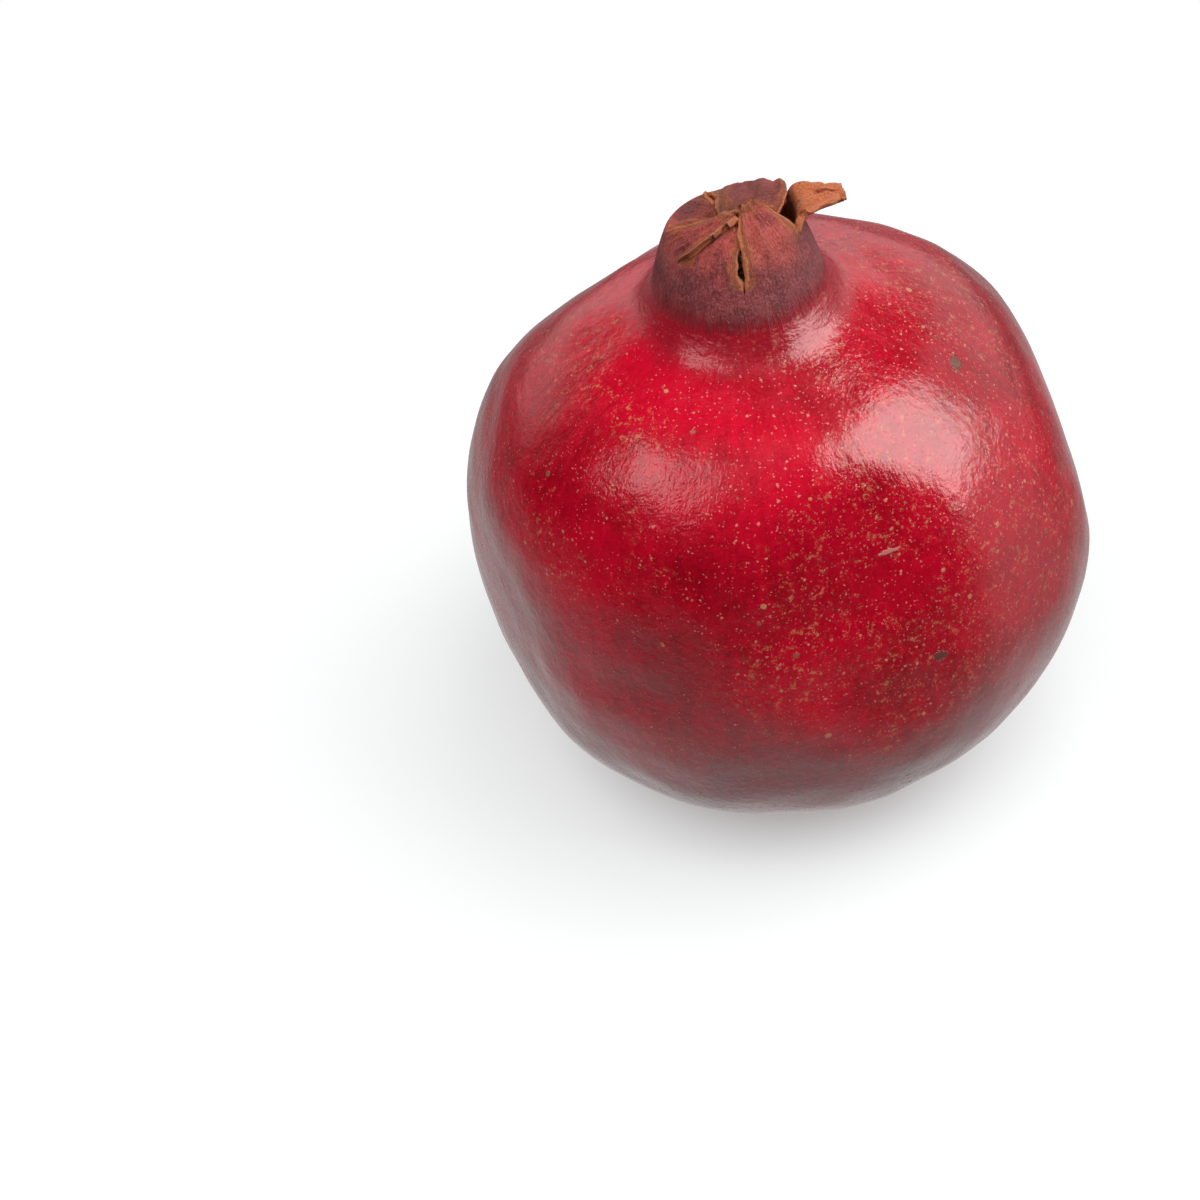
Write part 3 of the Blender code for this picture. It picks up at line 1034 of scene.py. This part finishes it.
@dataclass(frozen=True)
class Sepal:
    """One lobe of the crown: a leathery blade given by three ribs."""

    name: str
    ribs: tuple[Rib, Rib, Rib]  # in the order of their azimuths
    first_roll: float = 0.0  # how far its first margin is turned out
    last_roll: float = 0.0
    shade: float = 0.0  # painted shade: how far it is darkened towards dark brown above its foot
    thickness: float = 0.95
    columns: int = 32
    rows: int = 52
    fused_share: float = 0.28  # of the rows
    rim_radius: float = 10.8
    dome_slope: float = 0.28
    dome_curve: float = 0.02
    wrinkle: float = 0.46
    ragged: float = 0.16
    nudge: float = 0.01  # a small step across or along the sepal
    least_edge: float = 0.015  # a shorter one is collapsed

    def dome(self, height: float) -> float:
        """The crown's radius at a height above the rim, where the sepals are still one wall."""
        return self.rim_radius - self.dome_slope * height - self.dome_curve * height * height

    def rib_at(self, across: float) -> tuple[float, float]:
        """Where the fused wall ends.

        Args:
            across: -1 at the first rib, 1 at the last one.

        Returns:
            The azimuth there and the wall's height above the rim.
        """
        first, middle, last = self.ribs
        side = last if across > 0 else first
        share = abs(across)
        azimuth = middle.azimuth + (side.azimuth - middle.azimuth) * share
        return azimuth, middle.fused + (side.fused - middle.fused) * share

    def free_point(self, rib: Rib, share: float) -> Vector:
        """A point on the free part of a rib.

        Args:
            rib: The rib.
            share: 0 where it comes free, 1 at its tip.

        Returns:
            The point in the crown's frame.
        """
        start = polar(rib.azimuth, self.dome(rib.fused), rib.fused)
        points = [start] + [polar(*point) for point in rib.free]
        return along_curve(points, share)

    def surface(self, across: float, along: float) -> Vector:
        """A point of the sepal's outer face.

        Args:
            across: -1 at the first rib, 1 at the last one.
            along: 0 at the rim, 1 at the tip.

        Returns:
            The point in the crown's frame.
        """
        azimuth, fused = self.rib_at(across)
        if along <= self.fused_share:
            height = fused * along / self.fused_share
            return polar(azimuth, self.dome(height), height)
        share = (along - self.fused_share) / (1 - self.fused_share)
        first, middle, last = (self.free_point(rib, share) for rib in self.ribs)
        bow = (first + last) / 2 - middle
        tilt = (last - first) / 2
        free = middle + tilt * across + bow * across * across
        start = polar(azimuth, self.dome(fused), fused)
        flat_start = self.start_between(across)
        return free + (start - flat_start) * (1 - smoothstep(0.0, 0.5, share))

    def start_between(self, across: float) -> Vector:
        """Where the free part would start if it were interpolated straight from the three ribs."""
        first, middle, last = (self.free_point(rib, 0.0) for rib in self.ribs)
        return middle + (last - first) / 2 * across + ((first + last) / 2 - middle) * across * across

    def outward(self, across: float, along: float) -> Vector:
        """The direction away from the crown's middle, square to the outer face.

        Args:
            across: -1 at the first rib, 1 at the last one.
            along: 0 at the rim, 1 at the tip.

        Returns:
            The direction.
        """
        step = self.nudge
        ahead = self.surface(across, min(along + step, 1.0)) - self.surface(across, along - step)
        right = self.surface(min(across + step, 1.0), along)
        left = self.surface(max(across - step, -1.0), along)
        return (right - left).cross(ahead).normalized()

    def lift(self, across: float, along: float, seed: Vector) -> float:
        """How far the free blade stands off its smooth face: turned-out margins and wrinkles.

        Args:
            across: -1 at the first rib, 1 at the last one.
            along: 0 at the rim, 1 at the tip.
            seed: What tells this sepal's wrinkles from the others'.

        Returns:
            The distance in millimetres.
        """
        free = self.freedom(along)
        roll = self.last_roll if across > 0 else self.first_roll
        turned = roll * smoothstep(0.55, 1.0, abs(across)) * free * (1 - along**4)
        folds = noise.noise(Vector((across * 3.6, along * 2.2, 3.0)) + seed)
        crumple = noise.noise(Vector((across * 8.0, along * 6.0, 7.0)) + seed)
        return turned + self.wrinkle * (folds + 0.5 * crumple) * free

    def freedom(self, along: float) -> float:
        """How free of its neighbours the sepal is: 0 in the fused wall, 1 well above it."""
        return smoothstep(self.fused_share, self.fused_share + 0.12, along)

    def build(self, rim: Vector) -> bmesh.types.BMesh:
        """The sepal as a closed shell.

        Args:
            rim: The middle of the neck's rim.

        Returns:
            The shell, with what its finish needs at each vertex.
        """
        builder = bmesh.new()
        bmesh.ops.create_grid(builder, x_segments=self.columns, y_segments=self.rows, size=1.0)
        layers = {
            key: builder.verts.layers.float.new(key)
            for key in ("across", "along", "margin", "shade", "inside")
        }
        seed = Vector((self.ribs[0].azimuth, 0.0, 0.0))
        for vertex in builder.verts:
            across, along = vertex.co.x, (vertex.co.y + 1) / 2
            ragged = noise.noise(Vector((across * 2.0, along * 15.0, 0.0)) + seed) * self.ragged
            narrowing = self.freedom(along) * max(0.0, abs(across) - 0.6) * (0.03 + ragged)
            inset = across * (1 - narrowing)
            lift = self.lift(across, along, seed)
            vertex.co = self.surface(inset, along) + self.outward(inset, along) * lift
            vertex[layers["across"]] = across + self.ribs[0].azimuth
            vertex[layers["along"]] = along
            vertex[layers["shade"]] = self.shade
            vertex[layers["margin"]] = self.margin_at(across, along)
        outside = set(builder.verts)
        builder.normal_update()
        bmesh.ops.solidify(builder, geom=list(builder.faces), thickness=self.thickness)
        bmesh.ops.recalc_face_normals(builder, faces=builder.faces)
        for vertex in builder.verts:
            vertex[layers["inside"]] = 0.0 if vertex in outside else 1.0
        self._round_margins(builder, layers["margin"])
        self._clean(builder)
        builder.transform(Matrix.Translation(rim))
        return builder

    def margin_at(self, across: float, along: float) -> float:
        """How near a free margin a place lies: 1 on it, 0 well inside it.

        Args:
            across: -1 at the first rib, 1 at the last one.
            along: 0 at the rim, 1 at the tip.

        Returns:
            The nearness.
        """
        free = smoothstep(self.fused_share, self.fused_share + 0.06, along)
        side = max(0.0, 1 - (1 - abs(across)) / 0.65) * free
        tip = max(0.0, 1 - (1 - along) / 0.22)
        return max(side, tip)

    @staticmethod
    def _round_margins(builder: bmesh.types.BMesh, layer: bmesh.types.BMLayerItem) -> None:
        """Rounds the free margins, which are thick and dry.

        Args:
            builder: The sepal's shell.
            layer: How near a margin each vertex lies.
        """
        edges = [
            edge
            for edge in builder.edges
            if len(edge.link_faces) == 2
            and edge.calc_face_angle() > 1.0
            and min(vertex[layer] for vertex in edge.verts) > 0.8
        ]
        bmesh.ops.bevel(
            builder,
            geom=edges,
            offset=40.0,
            offset_type="PERCENT",
            segments=3,
            profile=0.5,
            affect="EDGES",
            material=-1,
            clamp_overlap=True,
        )

    def _clean(self, builder: bmesh.types.BMesh) -> None:
        """Collapses what the rounding squeezed to nothing, and turns the faces outwards.

        Args:
            builder: The sepal's shell.
        """
        short = [edge for edge in builder.edges if edge.calc_length() < self.least_edge]
        bmesh.ops.collapse(builder, edges=short)
        if builder.calc_volume(signed=True) < 0:
            bmesh.ops.reverse_faces(builder, faces=builder.faces)


SEPALS = (
    Sepal(
        "sepal_right",
        (
            Rib(343.0, 4.2, ((357.0, 9.9, 5.7), (5.0, 13.2, 5.8), (9.0, 15.1, 5.7))),
            Rib(371.0, 3.6, ((371.0, 10.0, 5.8), (372.9, 12.6, 5.8), (372.7, 15.4, 5.9))),
            Rib(399.0, 3.0, ((392.0, 9.5, 6.3), (383.0, 11.9, 6.6), (376.5, 15.2, 6.8))),
        ),
    ),
    Sepal(
        "sepal_back_right",
        (
            Rib(39.0, 3.0, ((38.0, 9.0, 5.8), (28.0, 8.4, 8.2), (4.0, 7.5, 8.3), (338.0, 6.2, 6.6))),
            Rib(75.5, 3.2, ((70.0, 8.7, 5.6), (50.0, 6.0, 7.8), (20.0, 3.6, 8.3), (318.0, 2.6, 7.8))),
            Rib(112.0, 3.5, ((114.0, 7.9, 4.6), (120.0, 5.2, 6.0), (145.0, 3.2, 6.8), (215.0, 2.4, 7.4))),
        ),
        shade=0.45,
    ),
    Sepal(
        "sepal_back_left",
        (
            Rib(112.0, 3.5, ((118.0, 8.0, 4.8), (128.0, 4.9, 5.8), (150.0, 2.0, 6.3))),
            Rib(146.0, 3.5, ((148.0, 7.3, 4.5), (150.0, 4.6, 5.7), (165.0, 2.2, 6.3))),
            Rib(180.0, 3.5, ((178.0, 6.7, 4.3), (182.0, 4.4, 5.4), (190.0, 2.0, 6.2))),
        ),
        shade=0.35,
    ),
    Sepal(
        "sepal_left",
        (
            Rib(180.0, 3.5, ((189.0, 8.0, 5.2), (205.0, 5.6, 6.9), (262.0, 2.6, 8.4))),
            Rib(198.5, 3.2, ((212.0, 7.9, 6.0), (232.0, 5.9, 7.8), (272.0, 3.1, 9.0))),
            Rib(217.0, 3.0, ((240.0, 7.7, 6.6), (256.0, 5.9, 8.2), (279.0, 3.6, 9.1))),
        ),
        first_roll=0.5,
        last_roll=0.8,
    ),
    Sepal(
        "sepal_front_left",
        (
            Rib(217.0, 3.0, ((226.0, 8.0, 5.2), (238.0, 6.3, 6.5), (272.0, 3.9, 7.6))),
            Rib(247.0, 2.0, ((250.0, 8.4, 4.8), (258.0, 6.5, 6.7), (281.0, 3.8, 7.8))),
            Rib(277.0, 0.7, ((274.2, 9.2, 3.7), (281.0, 6.3, 6.5), (291.0, 3.8, 7.9))),
        ),
        last_roll=0.2,
    ),
    Sepal(
        "sepal_front_right",
        (
            Rib(277.0, 0.7, ((280.2, 9.0, 3.9), (277.5, 6.3, 7.5), (300.0, 2.6, 9.5))),
            Rib(310.0, 2.5, ((311.0, 8.7, 5.3), (312.0, 6.3, 7.9), (318.0, 2.8, 9.8))),
            Rib(343.0, 4.2, ((344.0, 8.6, 6.2), (343.0, 5.4, 8.6), (333.0, 3.0, 9.7))),
        ),
        first_roll=0.15,
    ),
)


@dataclass(frozen=True)
class Stamens:
    """The dried stamens that line the cup and lean into its middle."""

    count: int = 120
    cup_radius: float = 8.3
    floor: float = 40.0
    brim: float = 50.0
    filament_radius: float = 0.22
    anther_length: float = 1.5  # an anther is a list of steps (share of this length, width)
    anther: tuple[tuple[float, float], ...] = ((0.1, 2.6), (0.4, 1.25), (0.5, 1.0), (0.4, 0.6))
    filament_steps: int = 5
    taper: float = 0.92  # from step to step
    sides: int = 5
    seed: int = 7

    def build(self, centre: Vector) -> bmesh.types.BMesh:
        """All stamens as one mesh of closed shells.

        Args:
            centre: The middle of the neck, at height 0.

        Returns:
            The mesh, with its anthers marked.
        """
        chance = random.Random(self.seed)
        builder = bmesh.new()
        layer = builder.verts.layers.float.new("anther")
        for _ in range(self.count):
            self._grow(builder, layer, chance)
        bmesh.ops.holes_fill(builder, edges=builder.edges, sides=self.sides)
        bmesh.ops.recalc_face_normals(builder, faces=builder.faces)
        builder.transform(Matrix.Translation(centre))
        return builder

    def _grow(
        self,
        builder: bmesh.types.BMesh,
        layer: bmesh.types.BMLayerItem,
        chance: random.Random,
    ) -> None:
        """Adds one stamen: a bent, tapering filament with a bean-shaped anther at its tip.

        Args:
            builder: The mesh that it is added to.
            layer: What marks the anthers.
            chance: The source of random numbers.
        """
        azimuth = chance.uniform(0.0, 360.0)
        level = chance.uniform(0.0, 1.0) ** 0.8
        height = self.floor + (self.brim - self.floor) * 0.75 * level
        start = polar(azimuth, self.cup_radius * (0.75 + 0.25 * level), height)
        swing = azimuth + chance.uniform(-40.0, 40.0)
        middle = polar(swing, self.cup_radius * chance.uniform(0.5, 0.75), height + chance.uniform(1.5, 4.0))
        tip = polar(
            swing + chance.uniform(-60.0, 60.0),
            self.cup_radius * chance.uniform(0.1, 0.7),
            min(height + chance.uniform(3.0, 7.0), self.brim + 2.0),
        )
        steps = self.filament_steps
        points = [along_curve([start, middle, tip], step / steps) for step in range(steps + 1)]
        ends = bmesh.ops.create_circle(
            builder, cap_ends=True, segments=self.sides, radius=self.filament_radius
        )
        face = next(f for v in ends["verts"] for f in v.link_faces)
        self._aim(builder, face, points[0], points[1] - points[0], 1.0)
        for number in range(1, steps + 1):
            face = bmesh.ops.extrude_discrete_faces(builder, faces=[face])["faces"][0]
            ahead = points[min(number + 1, steps)] - points[number - 1]
            self._aim(builder, face, points[number], ahead, self.taper)
        ahead = (points[-1] - points[-2]).normalized()
        for length, width in self.anther:
            face = bmesh.ops.extrude_discrete_faces(builder, faces=[face])["faces"][0]
            spot = face.calc_center_median() + ahead * length * self.anther_length
            self._aim(builder, face, spot, ahead, width)
            for vertex in face.verts:
                vertex[layer] = 1.0

    @staticmethod
    def _aim(
        builder: bmesh.types.BMesh, face: bmesh.types.BMFace, spot: Vector, ahead: Vector, share: float
    ) -> None:
        """Moves a face to a place, turns it to face ahead and scales it.

        Args:
            builder: The mesh.
            face: The face.
            spot: Where its middle goes.
            ahead: The direction that it will face.
            share: Its size, as a share of what it was.
        """
        verts = list(face.verts)
        centre = face.calc_center_median()
        face.normal_update()
        turn = face.normal.rotation_difference(ahead).to_matrix().to_4x4()
        matrix = Matrix.Translation(spot) @ turn @ Matrix.Scale(share, 4) @ Matrix.Translation(-centre)
        bmesh.ops.transform(builder, matrix=matrix, verts=verts)


@dataclass(frozen=True)
class Style:
    """The dried style in the middle of the cup, bent a little, with its knob."""

    foot: float = 38.8
    length: float = 12.6
    bend: float = 0.9
    ripple_height: float = 0.12
    ripple_scale: float = 1.6
    steps: int = 24

    def build(self, centre: Vector) -> bmesh.types.BMesh:
        """The style as one closed mesh.

        Args:
            centre: The middle of the neck, at height 0.

        Returns:
            The mesh.
        """
        top = self.foot + self.length
        keys = (
            (0.0, top),
            (0.7, top - 0.15),
            (1.25, top - 0.9),
            (1.0, top - 1.8),
            (0.6, top - 2.5),
            (0.5, self.foot + 6.0),
            (0.8, self.foot + 2.0),
            (1.4, self.foot + 0.5),
            (1.5, self.foot),
        )
        profile = outline(keys, 0.35) + [Vector((0.0, 0.0, self.foot))]
        builder = spin_profile(profile, self.steps)
        for vertex in builder.verts:
            share = (vertex.co.z - self.foot) / self.length
            vertex.co.x += self.bend * share * share
            ripple = 1 + self.ripple_height * noise.noise(vertex.co * self.ripple_scale)
            vertex.co.x *= ripple
            vertex.co.y *= ripple
        builder.transform(Matrix.Translation(centre))
        return builder


@dataclass(frozen=True)
class StemStub:
    """The woody stub of the stem, broken off short inside its recess."""

    top: float = -36.9
    radius: float = 3.0
    length: float = 2.2
    steps: int = 40

    def build(self) -> bmesh.types.BMesh:
        """Builds the stub.

        Returns:
            One closed mesh, with a fibrous broken end.
        """
        keys = (
            (self.radius + 0.4, self.top),
            (self.radius + 0.25, self.top - 0.4),
            (self.radius, self.top - 1.0),
            (self.radius - 0.05, self.top - 1.7),
            (self.radius - 0.35, self.top - self.length + 0.05),
            (self.radius - 1.0, self.top - self.length + 0.35),
            (self.radius - 1.8, self.top - self.length + 0.15),
            (0.4, self.top - self.length + 0.3),
        )
        profile = [Vector((0.0, 0.0, self.top))] + outline(keys, 0.22)
        profile.append(Vector((0.0, 0.0, self.top - self.length + 0.3)))
        builder = spin_profile(profile, self.steps)
        for vertex in builder.verts:
            turn = math.atan2(vertex.co.y, vertex.co.x)
            ridge = 0.10 * noise.noise(Vector((math.cos(turn) * 3, math.sin(turn) * 3, 0.0)))
            vertex.co.x *= 1 + ridge
            vertex.co.y *= 1 + ridge
            if vertex.co.z < self.top - 1.8:
                vertex.co.z += 0.25 * noise.noise(vertex.co * 2.2)
        return builder


# ---------------------------------------------------------------- studio


@dataclass(frozen=True)
class SoftBox:
    """A studio light that faces the fruit."""

    name: str
    azimuth: float
    elevation: float
    distance: float  # metres
    width: float
    height: float
    radiance: float
    roll: float = 0.0  # degrees
    lights: bool = True  # it lights dull surfaces
    mirrors: bool = True  # it shows as a highlight

    def place(self, target: Vector) -> None:
        """Hangs the light so that it faces the target.

        Args:
            target: The place that it faces, in metres.
        """
        light = bpy.data.lights.new(self.name, "AREA")
        light.shape = "RECTANGLE"
        light.size = self.width
        light.size_y = self.height
        light.energy = self.radiance * 4 * self.width * self.height
        lamp = bpy.data.objects.new(self.name, light)
        rise = math.radians(self.elevation)
        away = polar(self.azimuth, math.cos(rise), math.sin(rise))
        turn = away.to_track_quat("Z", "Y").to_matrix() @ Matrix.Rotation(math.radians(self.roll), 3, "Z")
        lamp.location = target + away * self.distance
        lamp.rotation_euler = turn.to_euler()
        lamp.visible_diffuse = self.lights
        lamp.visible_glossy = self.mirrors
        bpy.context.scene.collection.objects.link(lamp)


@dataclass(frozen=True)
class Surround:
    """The room round the table: white where it is seen, mostly dark where the fruit mirrors it."""

    seen: float = 1.0
    ambient: float = 0.31
    mirrored_back: float = 1.0
    mirrored_side: float = 0.8
    mirrored_floor: float = 0.85

    def build(self) -> None:
        """Makes the scene's world."""
        world = bpy.data.worlds.new("studio")
        world.use_nodes = True
        bpy.context.scene.world = world
        graph = Graph(world.node_tree)
        direction = graph.node("ShaderNodeTexCoord", {}, {}, "Generated")
        right, back, up = graph.parts(direction)
        wall = graph.rise(back, 0.1, 0.75) * graph.rise(up, 0.62, 0.30) * graph.rise(up, -0.3, 0.0)
        floor = graph.rise(up, -0.15, -0.95) * self.mirrored_floor
        side = graph.rise(right, 0.78, 1.0) * graph.rise(up, 0.45, 0.0) * self.mirrored_side
        mirrored = (wall * self.mirrored_back).most(side) + floor
        camera_ray = graph.node("ShaderNodeLightPath", {}, {}, "Is Camera Ray")
        glossy_ray = graph.node("ShaderNodeLightPath", {}, {}, "Is Glossy Ray")
        overhead = graph.rise(up, -0.25, 0.15) * self.ambient
        unseen = glossy_ray * mirrored + (1 - glossy_ray) * overhead
        strength = camera_ray * self.seen + (1 - camera_ray) * unseen
        background = world.node_tree.nodes["Background"]
        background.inputs["Color"].default_value = (1.0, 1.0, 1.0, 1.0)
        world.node_tree.links.new(strength.socket, background.inputs["Strength"])


@dataclass(frozen=True)
class Studio:
    """A pale table, soft lights and the camera."""

    target: Vector
    elevation: float = 42.0
    distance: float = 0.6
    lens: float = 124.2
    sensor: float = 36.0
    aim_right: float = 2.447  # degrees that the fruit stands right of the middle of the view
    aim_up: float = 1.36
    table_radius: float = 0.17
    table_middle: tuple[float, float] = (0.02, 0.0)
    table_shade: Colour = (0.49, 0.52, 0.52)  # a little green, against the fruit's red reflection
    table_glow: float = 0.52
    contact: tuple[float, float] = (0.006, 0.036)  # metres from the middle of the flat spot, over which the painted contact shadow fades out
    # the colour of the painted contact shadow in the table's glow
    contact_shade: Colour = (0.12, 0.10, 0.10)
    lights: tuple[SoftBox, ...] = (
        SoftBox("key_softbox", -7.0, 35.0, 1.1, 1.00, 1.06, 5.6, roll=6.0, lights=False),
        SoftBox("fill_softbox", 217.0, 37.0, 1.3, 0.66, 0.66, 3.0, lights=False),
        SoftBox("front_light", 244.0, 58.0, 1.2, 0.90, 0.90, 2.1, mirrors=False),
        SoftBox("overhead_light", 0.0, 64.0, 1.2, 1.20, 1.20, 2.0, mirrors=False),
    )

    def build(self) -> None:
        """Sets everything up."""
        self._table()
        Surround().build()
        for light in self.lights:
            light.place(self.target)
        self._camera()
        bpy.context.scene.view_settings.view_transform = "Standard"

    def _table(self) -> None:
        """A round pale table top whose glow is darkened round the fruit's flat spot into a painted contact
        shadow.
        """
        builder = bmesh.new()
        bmesh.ops.create_circle(builder, cap_ends=True, segments=96, radius=self.table_radius)
        bmesh.ops.translate(builder, verts=builder.verts, vec=(*self.table_middle, 0.0))
        mesh = bpy.data.meshes.new("table")
        builder.to_mesh(mesh)
        builder.free()
        material = bpy.data.materials.new("pale_table")
        material.use_nodes = True
        graph = Graph(material.node_tree)
        spot = graph.node("ShaderNodeTexCoord", {}, {}, "Object")
        away = graph.node("ShaderNodeVectorMath", {"operation": "LENGTH"}, {0: spot}, "Value")
        # painted contact shadow: the glow goes dark towards the middle of the flat spot
        glow = graph.mix(graph.rise(away, *self.contact), self.contact_shade, (1.0, 1.0, 1.0))
        shader = material.node_tree.nodes["Principled BSDF"]
        shader.inputs["Base Color"].default_value = (*self.table_shade, 1.0)
        material.node_tree.links.new(glow.socket, shader.inputs["Emission Color"])
        shader.inputs["Emission Strength"].default_value = self.table_glow
        shader.inputs["Roughness"].default_value = 0.9
        shader.inputs["Specular IOR Level"].default_value = 0.1
        mesh.materials.append(material)
        table = bpy.data.objects.new("table", mesh)
        table.visible_diffuse = False
        table.visible_glossy = False
        bpy.context.scene.collection.objects.link(table)

    def _camera(self) -> None:
        """The camera, which looks a little past the fruit so that it stands right of the middle."""
        camera = bpy.data.cameras.new("camera")
        camera.lens = self.lens
        camera.sensor_width = self.sensor
        eye = bpy.data.objects.new("camera", camera)
        rise = math.radians(self.elevation)
        eye.location = self.target + Vector((0.0, -math.cos(rise), math.sin(rise))) * self.distance
        look = Euler((math.radians(90.0 - self.elevation), 0.0, 0.0)).to_matrix()
        aim = Euler((-math.radians(self.aim_up), math.radians(self.aim_right), 0.0)).to_matrix()
        eye.rotation_euler = (look @ aim).to_euler()
        bpy.context.scene.collection.objects.link(eye)
        bpy.context.scene.camera = eye


def corners(bounds: Iterable[Iterable[float]]) -> list[list[float]]:
    """A box's corners as plain lists of numbers."""
    return [[float(value) for value in corner] for corner in bounds]


def main() -> None:
    """Builds the pomegranate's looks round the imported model."""
    logging.basicConfig(level=logging.INFO, format="%(name)s: %(message)s")
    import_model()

    axis = GrowthAxis.from_frame()
    hanger = Hanger(axis)
    rind = Rind(axis)
    centre = axis.neck_shift(rind.rim_height)
    rim = centre + Vector((0.0, 0.0, rind.rim_height))

    hanger.hang(rind.build(), "pomegranate_rind", ["fruit"], RindFinish().material(axis))
    sepal_finish = SepalFinish().material(axis)
    for sepal in SEPALS:
        hanger.hang(sepal.build(rim), "dried_" + sepal.name, [sepal.name], sepal_finish)
    stamen_finish = StamenFinish().material(axis)
    hanger.hang(Stamens().build(centre), "dried_stamens", ["stamens"], stamen_finish)
    style_finish = WoodyFinish(Slot.STYLE, (0.42, 0.22, 0.09), (0.16, 0.07, 0.03))
    hanger.hang(Style().build(centre), "dried_style", ["style"], style_finish.material(axis))
    stem_finish = WoodyFinish(Slot.STEM, (0.26, 0.15, 0.08), (0.07, 0.035, 0.02))
    hanger.hang(StemStub().build(), "woody_stem_stub", ["stem_stub"], stem_finish.material(axis))

    Studio(axis.middle).build()


if __name__ == "__main__":
    main()
